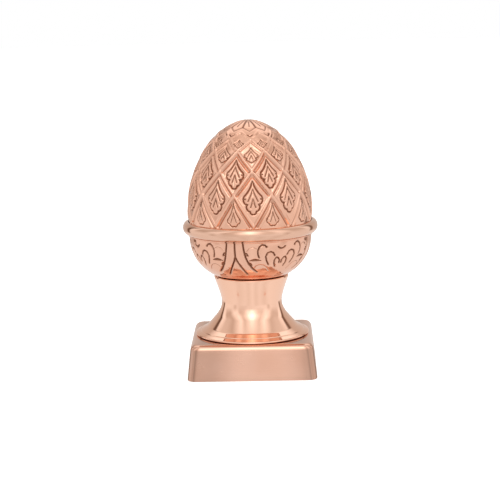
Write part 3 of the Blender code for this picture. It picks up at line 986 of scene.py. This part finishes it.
# Materials

# The dark tone of the cap's painted shade, and how much of it the most shaded place takes
CAP_SHADE_VALUE = 0.55
CAP_SHADE_SHARE = 0.55

# Shares of a cut's depth between which the painted shade in the cuts grows, how much of it the deepest
# place takes and how rough it is there
CUT_SHADE_DEPTHS = (0.08, 0.60)
CUT_SHADE_SHARE = 0.94
CUT_ROUGHNESS = 0.42


def new_material(name):
    """A new material and its nodes, or the one made before and None."""
    old = bpy.data.materials.get(name)
    if old is not None:
        return old, None
    material = bpy.data.materials.new(name)
    material.use_nodes = True
    return material, material.node_tree


def group(name, inputs, outputs):
    """A shader node group with named inputs (name, kind, default) and outputs (name, kind)."""
    tree = bpy.data.node_groups.new(name, "ShaderNodeTree")
    for label, kind, default in inputs:
        socket = tree.interface.new_socket(name=label, in_out="INPUT", socket_type=kind)
        socket.default_value = default
    for label, kind in outputs:
        tree.interface.new_socket(name=label, in_out="OUTPUT", socket_type=kind)
    return tree, tree.nodes.new("NodeGroupInput"), tree.nodes.new("NodeGroupOutput")


def noise(tree, vector, scale, detail=3.0, roughness=0.55):
    """Smooth noise from 0 to 1."""
    node = tree.nodes.new("ShaderNodeTexNoise")
    node.inputs["Scale"].default_value = scale
    node.inputs["Detail"].default_value = detail
    node.inputs["Roughness"].default_value = roughness
    tree.links.new(vector, node.inputs["Vector"])
    return node.outputs["Fac"]


def feed(tree, socket, value):
    """Sets a socket to a plain value, or links another node's output to it."""
    if isinstance(value, bpy.types.NodeSocket):
        tree.links.new(value, socket)
    else:
        socket.default_value = value


def math_node(tree, operation, first, second):
    """The result of a sum of two values."""
    node = tree.nodes.new("ShaderNodeMath")
    node.operation = operation
    feed(tree, node.inputs[0], first)
    feed(tree, node.inputs[1], second)
    return node.outputs[0]


def spread(tree, value, low, high, to_low=0.0, to_high=1.0):
    """A value between low and high, stretched to lie between two others."""
    node = tree.nodes.new("ShaderNodeMapRange")
    for label, number in (("Value", value), ("From Min", low), ("From Max", high),
                          ("To Min", to_low), ("To Max", to_high)):
        feed(tree, node.inputs[label], number)
    return node.outputs["Result"]


def mix_colour(tree, share, first, second):
    """The first colour, with a share of the second."""
    node = tree.nodes.new("ShaderNodeMix")
    node.data_type = "RGBA"
    for socket, value in zip((node.inputs["Factor"], node.inputs[6], node.inputs[7]),
                             (share, first, second)):
        feed(tree, socket, value)
    return node.outputs[2]


def cloudy_copper():
    """Copper whose tone drifts a little from place to place, as buffed metal does."""
    found = bpy.data.node_groups.get("cloudy_copper")
    if found:
        return found
    tree, given, out = group("cloudy_copper", [
        ("Copper", "NodeSocketColor", (0.95, 0.6, 0.44, 1)),
        ("Drift", "NodeSocketFloat", 0.5),
        ("Roughness", "NodeSocketFloat", 0.1)],
        [("Colour", "NodeSocketColor"), ("Roughness", "NodeSocketFloat")])
    place = tree.nodes.new("ShaderNodeTexCoord").outputs["Object"]
    cloud = spread(tree, noise(tree, place, 28.0, 2.0), 0.35, 0.65)
    share = math_node(tree, "MULTIPLY", cloud, given.outputs["Drift"])
    warm = tree.nodes.new("ShaderNodeHueSaturation")
    warm.inputs["Saturation"].default_value = 1.12
    warm.inputs["Value"].default_value = 0.93
    tree.links.new(given.outputs["Copper"], warm.inputs["Color"])
    tree.links.new(mix_colour(tree, share, given.outputs["Copper"], warm.outputs["Color"]),
                   out.inputs["Colour"])
    smear = spread(tree, noise(tree, place, 90.0, 4.0), 0.3, 0.7, 0.85, 1.2)
    tree.links.new(math_node(tree, "MULTIPLY", smear, given.outputs["Roughness"]),
                   out.inputs["Roughness"])
    return tree


def turning_marks():
    """Fine rings that the spinning tool leaves, as a height."""
    found = bpy.data.node_groups.get("turning_marks")
    if found:
        return found
    tree, given, out = group("turning_marks", [("Rings per metre", "NodeSocketFloat", 2500.0)],
                             [("Height", "NodeSocketFloat")])
    place = tree.nodes.new("ShaderNodeTexCoord").outputs["Object"]
    split = tree.nodes.new("ShaderNodeSeparateXYZ")
    tree.links.new(place, split.inputs[0])
    flat = tree.nodes.new("ShaderNodeCombineXYZ")
    tree.links.new(split.outputs["X"], flat.inputs["X"])
    tree.links.new(split.outputs["Y"], flat.inputs["Y"])
    size = tree.nodes.new("ShaderNodeVectorMath")
    size.operation = "LENGTH"
    tree.links.new(flat.outputs[0], size.inputs[0])
    run = math_node(tree, "SUBTRACT", size.outputs["Value"], split.outputs["Z"])
    along = tree.nodes.new("ShaderNodeCombineXYZ")
    tree.links.new(math_node(tree, "MULTIPLY", run, given.outputs["Rings per metre"]),
                   along.inputs["X"])
    tree.links.new(noise(tree, along.outputs[0], 1.0, 3.0, 0.7), out.inputs["Height"])
    return tree


def brushed_lines():
    """Straight satin brushing along the skirts, as a height."""
    found = bpy.data.node_groups.get("brushed_lines")
    if found:
        return found
    tree, given, out = group("brushed_lines", [("Lines per metre", "NodeSocketFloat", 1800.0)],
                             [("Height", "NodeSocketFloat")])
    place = tree.nodes.new("ShaderNodeTexCoord").outputs["Object"]
    stretch = tree.nodes.new("ShaderNodeMapping")
    stretch.inputs["Scale"].default_value = (0.03, 0.03, 1.0)
    tree.links.new(place, stretch.inputs["Vector"])
    across = tree.nodes.new("ShaderNodeVectorMath")
    across.operation = "SCALE"
    tree.links.new(stretch.outputs[0], across.inputs[0])
    tree.links.new(given.outputs["Lines per metre"], across.inputs["Scale"])
    tree.links.new(noise(tree, across.outputs[0], 1.0, 4.0, 0.65), out.inputs["Height"])
    return tree


def add_group(tree, made, **values):
    """A node group placed in a material with its own values."""
    node = tree.nodes.new("ShaderNodeGroup")
    node.node_tree = made
    for label, value in values.items():
        node.inputs[label.replace("_", " ")].default_value = value
    return node


def copper_base(name, colour, roughness, drift):
    """A metal shader fed by the drifting tone."""
    material, tree = new_material(name)
    if tree is None:
        return material, None, None, None
    shader = tree.nodes["Principled BSDF"]
    shader.inputs["Metallic"].default_value = 1.0
    tone = add_group(tree, cloudy_copper(), Copper=(*colour, 1), Drift=drift, Roughness=roughness)
    return material, tree, shader, tone


def bump(tree, shader, height, distance, strength):
    """Fine relief from a height, too small for the mesh."""
    node = tree.nodes.new("ShaderNodeBump")
    node.inputs["Distance"].default_value = distance
    node.inputs["Strength"].default_value = strength
    tree.links.new(height, node.inputs["Height"])
    tree.links.new(node.outputs["Normal"], shader.inputs["Normal"])


def satin_copper(context):
    """Brushed skirts with painted shade, lightest in a painted lit patch in their middle, with
    polished corners and top.
    """
    look = context.scene.postcap_copper
    material, tree, shader, tone = copper_base("copper_satin", look.satin, look.satin_roughness, 0.6)
    if tree is None:
        return material
    shader.inputs["Anisotropic"].default_value = 0.6
    shader.inputs["Anisotropic Rotation"].default_value = 0.25
    satin, painted_shade = (tree.nodes.new("ShaderNodeAttribute") for _ in range(2))
    satin.attribute_name, painted_shade.attribute_name = "satin", "painted_shade"
    painted_shade = math_node(tree, "MULTIPLY", painted_shade.outputs["Fac"], CAP_SHADE_SHARE)
    # The painted shade: the copper darkened where the mesh marks it
    dark = tree.nodes.new("ShaderNodeHueSaturation")
    dark.inputs["Value"].default_value = CAP_SHADE_VALUE
    tree.links.new(tone.outputs["Colour"], dark.inputs["Color"])
    tree.links.new(mix_colour(tree, painted_shade, tone.outputs["Colour"], dark.outputs["Color"]),
                   shader.inputs["Base Color"])
    rough = spread(tree, satin.outputs["Fac"], 0.0, 1.0, look.mirror_roughness,
                   tone.outputs["Roughness"])
    tree.links.new(rough, shader.inputs["Roughness"])
    lines = add_group(tree, brushed_lines(), Lines_per_metre=1800.0)
    grain = math_node(tree, "MULTIPLY", lines.outputs["Height"], satin.outputs["Fac"])
    bump(tree, shader, grain, 0.0002, 0.35)
    return material


def polished_copper(context, name="copper_polished", shade=1.0):
    """Buffed metal with fine turning marks, whose gloss is drawn out round the axis."""
    look = context.scene.postcap_copper
    # A shade below 1 darkens the copper as painted shade
    colour = [part * shade for part in look.polished]
    material, tree, shader, tone = copper_base(name, colour, look.mirror_roughness, 0.3)
    if tree is None:
        return material
    shader.inputs["Anisotropic"].default_value = 0.75
    shader.inputs["Anisotropic Rotation"].default_value = 0.25
    around = tree.nodes.new("ShaderNodeTangent")
    around.direction_type = "RADIAL"
    around.axis = "Z"
    tree.links.new(around.outputs[0], shader.inputs["Tangent"])
    tree.links.new(tone.outputs["Colour"], shader.inputs["Base Color"])
    tree.links.new(tone.outputs["Roughness"], shader.inputs["Roughness"])
    rings = add_group(tree, turning_marks(), Rings_per_metre=2500.0)
    bump(tree, shader, rings.outputs["Height"], 0.00005, 0.08)
    return material


def carved_copper(context):
    """Polished metal with hammered unevenness, with painted shade and more roughness in the cuts."""
    look = context.scene.postcap_copper
    material, tree, shader, tone = copper_base("copper_carved", look.carved,
                                               look.carved_roughness, 0.5)
    if tree is None:
        return material
    # The "cut" attribute mixes the painted shade of the cuts and their roughness into the metal
    cut = tree.nodes.new("ShaderNodeAttribute")
    cut.attribute_name = "cut"
    share = spread(tree, cut.outputs["Fac"], *CUT_SHADE_DEPTHS, 0.0, CUT_SHADE_SHARE)
    colour = mix_colour(tree, share, tone.outputs["Colour"], (*look.cut_shade_colour, 1))
    tree.links.new(colour, shader.inputs["Base Color"])
    rough = spread(tree, share, 0.0, 1.0, tone.outputs["Roughness"], CUT_ROUGHNESS)
    tree.links.new(rough, shader.inputs["Roughness"])
    place = tree.nodes.new("ShaderNodeTexCoord").outputs["Object"]
    grain = math_node(tree, "MULTIPLY", noise(tree, place, 900.0, 3.0), 0.12)
    wave = math_node(tree, "ADD", noise(tree, place, 240.0, 1.5), grain)
    bump(tree, shader, wave, 0.0003, 0.5)
    return material


def tone_ramp(tree, value, stops):
    """A ramp through (place, grey) stops, whose dark tones are warmer than its light ones."""
    ramp = tree.nodes.new("ShaderNodeValToRGB")
    edge = ramp.color_ramp.elements

    def warm(grey):
        shade = min(grey, 1.0)
        return (grey, grey * shade ** 0.25, grey * shade ** 0.45, 1)

    for element, (place, grey) in zip((edge[0], edge[1]), (stops[0], stops[-1])):
        element.position = place
        element.color = warm(grey)
    for place, grey in stops[1:-1]:
        edge.new(place).color = warm(grey)
    tree.links.new(value, ramp.inputs["Fac"])
    return ramp.outputs["Color"]


# The studio

# What the metal mirrors: brightness by heading in degrees from the front, plus to the right and
# minus to the left, of the floor and of the walls near the floor, at middle height and high up
FLOOR_TONES = ((-180, 0.90), (-70, 0.97), (-48, 0.90), (-26, 0.96), (-12, 0.90), (4, 1.0),
               (18, 0.90), (34, 0.98), (52, 0.90), (74, 1.0), (180, 0.90))
WALLS_LOW = ((-180, 0.70), (-136, 0.68), (-131, 0.20), (-126, 0.20), (-121, 0.98), (-95, 1.0),
             (-76, 0.96), (-66, 0.76), (-56, 0.94), (-44, 0.86), (-24, 0.88), (-14, 0.94),
             (14, 1.0), (23, 1.0), (44, 1.04), (56, 1.04), (66, 0.78), (76, 1.0), (95, 0.95),
             (121, 0.98), (126, 0.25), (131, 0.25), (136, 0.70), (180, 0.70))
WALLS_MIDDLE = ((-180, 0.64), (-136, 0.60), (-131, 0.15), (-126, 0.15), (-123, 1.1), (-114, 1.1),
                (-106, 0.66), (-88, 0.66), (-72, 1.02), (-58, 1.04), (-46, 0.66), (-30, 0.70),
                (-16, 1.0), (-4, 0.84), (12, 0.94), (24, 0.74), (40, 0.80), (52, 1.12),
                (68, 1.08), (82, 0.76), (108, 0.76), (114, 1.15), (123, 1.15), (126, 0.20),
                (131, 0.20), (136, 0.64), (180, 0.64))
WALLS_HIGH = ((-180, 1.35), (-145, 1.2), (-122, 0.82), (-100, 0.78), (-85, 0.64), (-55, 1.15),
              (-38, 0.66), (-22, 0.90), (-6, 1.4), (6, 1.4), (20, 1.0), (36, 0.76), (60, 1.25),
              (85, 0.72), (100, 0.82), (122, 0.88), (145, 1.2), (180, 1.35))

# Rises of a direction, from -1 straight down to 1 straight up, between which one gives way to
# the next
LOW_TO_MIDDLE = (0.0, 0.42)
MIDDLE_TO_HIGH = (0.52, 0.70)
WALLS_TO_FLOOR = (-0.21, -0.29)
WALLS_TO_CEILING = (0.88, 0.98)
CEILING = (0.96, 0.95, 0.93, 1)

# The lamp above the camera: rises between which it fades in and out, how far round to the front
# it starts, and the half width and brightness of its soft band and of its core
LAMP_FADES_IN = (0.08, 0.40)
LAMP_FADES_OUT = (0.97, 0.72)
LAMP_STARTS = (-0.05, -0.25)
LAMP_BANDS = ((0.34, 0.42), (0.13, 0.62))

# The overhead light: side and height in metres, and power in watts
OVERHEAD_SIDE = 1.8
OVERHEAD_HEIGHT = 1.9
OVERHEAD_POWER = 13.0


def studio_air():
    """White for the camera, and light and dark stripes for what the metal mirrors."""
    world = bpy.data.worlds.new("studio_air")
    world.use_nodes = True
    tree = world.node_tree
    tree.nodes.clear()
    link = tree.links.new
    where = tree.nodes.new("ShaderNodeTexCoord")
    split = tree.nodes.new("ShaderNodeSeparateXYZ")
    link(where.outputs["Generated"], split.inputs[0])
    heading = math_node(tree, "ARCTAN2", split.outputs["X"],
                        math_node(tree, "MULTIPLY", split.outputs["Y"], -1.0))
    heading = spread(tree, heading, -math.pi, math.pi)
    floor, low, middle, high = (
        tone_ramp(tree, heading, [(place / 360 + 0.5, grey) for place, grey in tones])
        for tones in (FLOOR_TONES, WALLS_LOW, WALLS_MIDDLE, WALLS_HIGH))
    rise = split.outputs["Z"]
    total = low
    for limits, colour in ((LOW_TO_MIDDLE, middle), (MIDDLE_TO_HIGH, high),
                           (WALLS_TO_FLOOR, floor), (WALLS_TO_CEILING, CEILING)):
        total = mix_colour(tree, spread(tree, rise, *limits), total, colour)

    # The lamp: a soft upright band with a brighter core
    front = spread(tree, split.outputs["Y"], *LAMP_STARTS)
    tall = math_node(tree, "MULTIPLY", spread(tree, rise, *LAMP_FADES_IN),
                     spread(tree, rise, *LAMP_FADES_OUT))
    glow = math_node(tree, "MULTIPLY", front, tall)
    for width, strength in LAMP_BANDS:
        share = math_node(tree, "DIVIDE", split.outputs["X"], width)
        square = math_node(tree, "MULTIPLY", share, share)
        bell = math_node(tree, "DIVIDE", 1.0, math_node(tree, "ADD", square, 1.0))
        part = math_node(tree, "MULTIPLY", math_node(tree, "MULTIPLY", bell, glow), strength)
        add = tree.nodes.new("ShaderNodeVectorMath")
        link(total, add.inputs[0])
        link(part, add.inputs[1])
        total = add.outputs[0]
    mirrored = tree.nodes.new("ShaderNodeBackground")
    link(total, mirrored.inputs["Color"])
    seen = tree.nodes.new("ShaderNodeBackground")
    seen.inputs["Color"].default_value = (1, 1, 1, 1)
    rays = tree.nodes.new("ShaderNodeLightPath")
    mix = tree.nodes.new("ShaderNodeMixShader")
    link(rays.outputs["Is Camera Ray"], mix.inputs["Fac"])
    link(mirrored.outputs[0], mix.inputs[1])
    link(seen.outputs[0], mix.inputs[2])
    out = tree.nodes.new("ShaderNodeOutputWorld")
    link(mix.outputs[0], out.inputs["Surface"])
    return world


def studio_white():
    """Matt white paint that the camera sees a little overexposed."""
    paint = bpy.data.materials.new("studio_white")
    paint.use_nodes = True
    tree = paint.node_tree
    shader = tree.nodes["Principled BSDF"]
    shader.inputs["Base Color"].default_value = (0.85, 0.85, 0.85, 1)
    shader.inputs["Roughness"].default_value = 0.9
    shader.inputs["Emission Color"].default_value = (1, 1, 1, 1)
    rays = tree.nodes.new("ShaderNodeLightPath")
    tree.links.new(math_node(tree, "MULTIPLY", rays.outputs["Is Camera Ray"], 0.55),
                   shader.inputs["Emission Strength"])
    return paint


class POSTCAP_OT_studio(bpy.types.Operator):
    """Pale floor, one soft overhead light, the mirrored studio and the camera"""

    bl_idname = "postcap.studio"
    bl_label = "Studio"

    def execute(self, context):
        scene = context.scene
        studio = scene.postcap_studio

        floor_mesh = bpy.data.meshes.new("studio_floor")
        form = bmesh.new()
        bmesh.ops.create_circle(form, cap_ends=True, segments=96, radius=studio.floor)
        form.to_mesh(floor_mesh)
        form.free()
        floor = bpy.data.objects.new("studio_floor", floor_mesh)
        floor.location.z = -0.0002
        floor.visible_glossy = False
        scene.collection.objects.link(floor)
        floor_mesh.materials.append(studio_white())

        light = bpy.data.lights.new("overhead", "AREA")
        light.size = OVERHEAD_SIDE
        light.energy = OVERHEAD_POWER
        lamp = bpy.data.objects.new("overhead", light)
        lamp.location.z = OVERHEAD_HEIGHT
        lamp.visible_glossy = False
        scene.collection.objects.link(lamp)

        scene.world = studio_air()

        lens = bpy.data.cameras.new("camera")
        lens.sensor_width = 36
        lens.lens = studio.focal
        camera = bpy.data.objects.new("camera", lens)
        scene.collection.objects.link(camera)
        place = Matrix.Translation((studio.aim, -studio.distance, studio.height))
        look = (Matrix.Rotation(math.radians(90) - studio.pitch, 4, "X")
                @ Matrix.Rotation(studio.roll, 4, "Z"))
        camera.matrix_world = Matrix.Rotation(studio.orbit, 4, "Z") @ place @ look
        scene.camera = camera
        scene.view_settings.view_transform = "Standard"
        return {"FINISHED"}


class POSTCAP_PT_sidebar(bpy.types.Panel):
    """Lists the pieces of the post cap"""

    bl_idname = "POSTCAP_PT_sidebar"
    bl_label = "Pineapple Post Cap"
    bl_space_type = "VIEW_3D"
    bl_region_type = "UI"
    bl_category = "Post Cap"

    def draw(self, context):
        for operator in OPERATORS:
            self.layout.operator(operator.bl_idname)


OPERATORS = (POSTCAP_OT_square_cap, POSTCAP_OT_spool_stem, POSTCAP_OT_bowl, POSTCAP_OT_ring,
             POSTCAP_OT_pineapple, POSTCAP_OT_studio)
SETTINGS = {"postcap_copper": CopperSettings, "postcap_cap": CapSettings,
            "postcap_stem": StemSettings, "postcap_carving": CarvingSettings,
            "postcap_studio": StudioSettings}
CLASSES = (*SETTINGS.values(), *OPERATORS, POSTCAP_PT_sidebar)


def register():
    for kind in CLASSES:
        bpy.utils.register_class(kind)
    for name, kind in SETTINGS.items():
        setattr(bpy.types.Scene, name, bpy.props.PointerProperty(type=kind))


def unregister():
    for name in SETTINGS:
        delattr(bpy.types.Scene, name)
    for kind in reversed(CLASSES):
        bpy.utils.unregister_class(kind)


def main():
    """Makes the pieces and the studio."""
    register()
    bpy.ops.postcap.square_cap()
    bpy.ops.postcap.spool_stem()
    bpy.ops.postcap.bowl()
    bpy.ops.postcap.ring()
    bpy.ops.postcap.pineapple()
    bpy.ops.postcap.studio()


if __name__ == "__main__":
    main()
